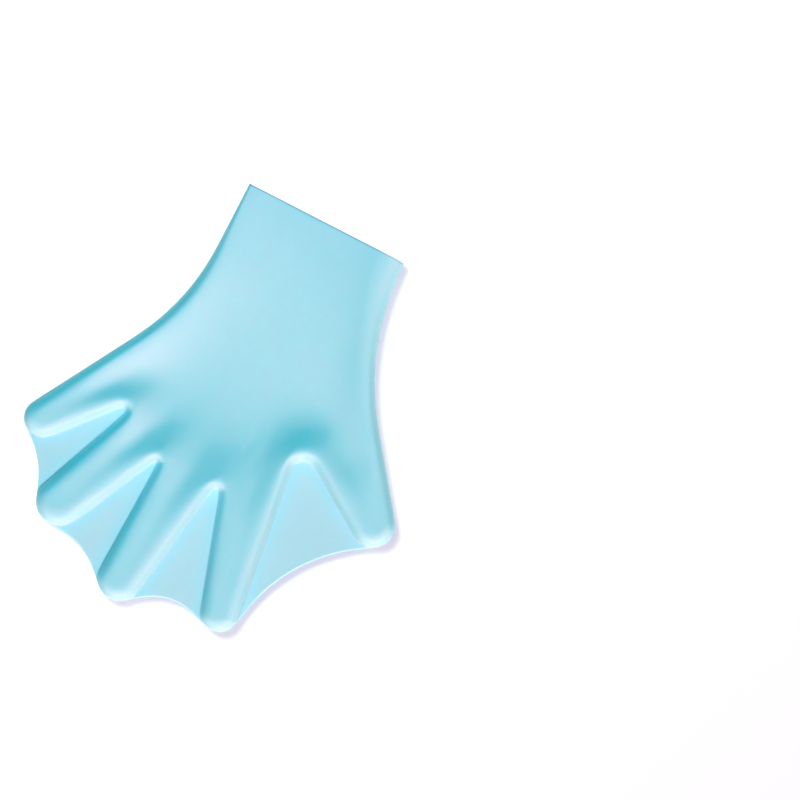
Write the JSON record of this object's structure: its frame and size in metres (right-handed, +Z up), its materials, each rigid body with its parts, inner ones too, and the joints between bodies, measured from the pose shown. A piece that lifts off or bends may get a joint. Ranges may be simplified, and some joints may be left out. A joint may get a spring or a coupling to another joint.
{
  "type": "webbed swim glove",
  "caption": "Soft silicone swim glove with an open cuff, a hollow palm, hollow finger stalls and thin webs between the fingers, lying flat.",
  "frame": {"origin": "middle of the bounding box in plan, on the surface that the glove lies on", "axes": "+Z up out of the surface, +Y towards the open cuff, +X towards the thumb"},
  "size_m": [0.1924, 0.2168, 0.02],
  "materials": {
    "silicone": "satin translucent aqua silicone"
  },
  "bodies": {
    "root": {"glove": "silicone"}
  },
  "joints": []
}
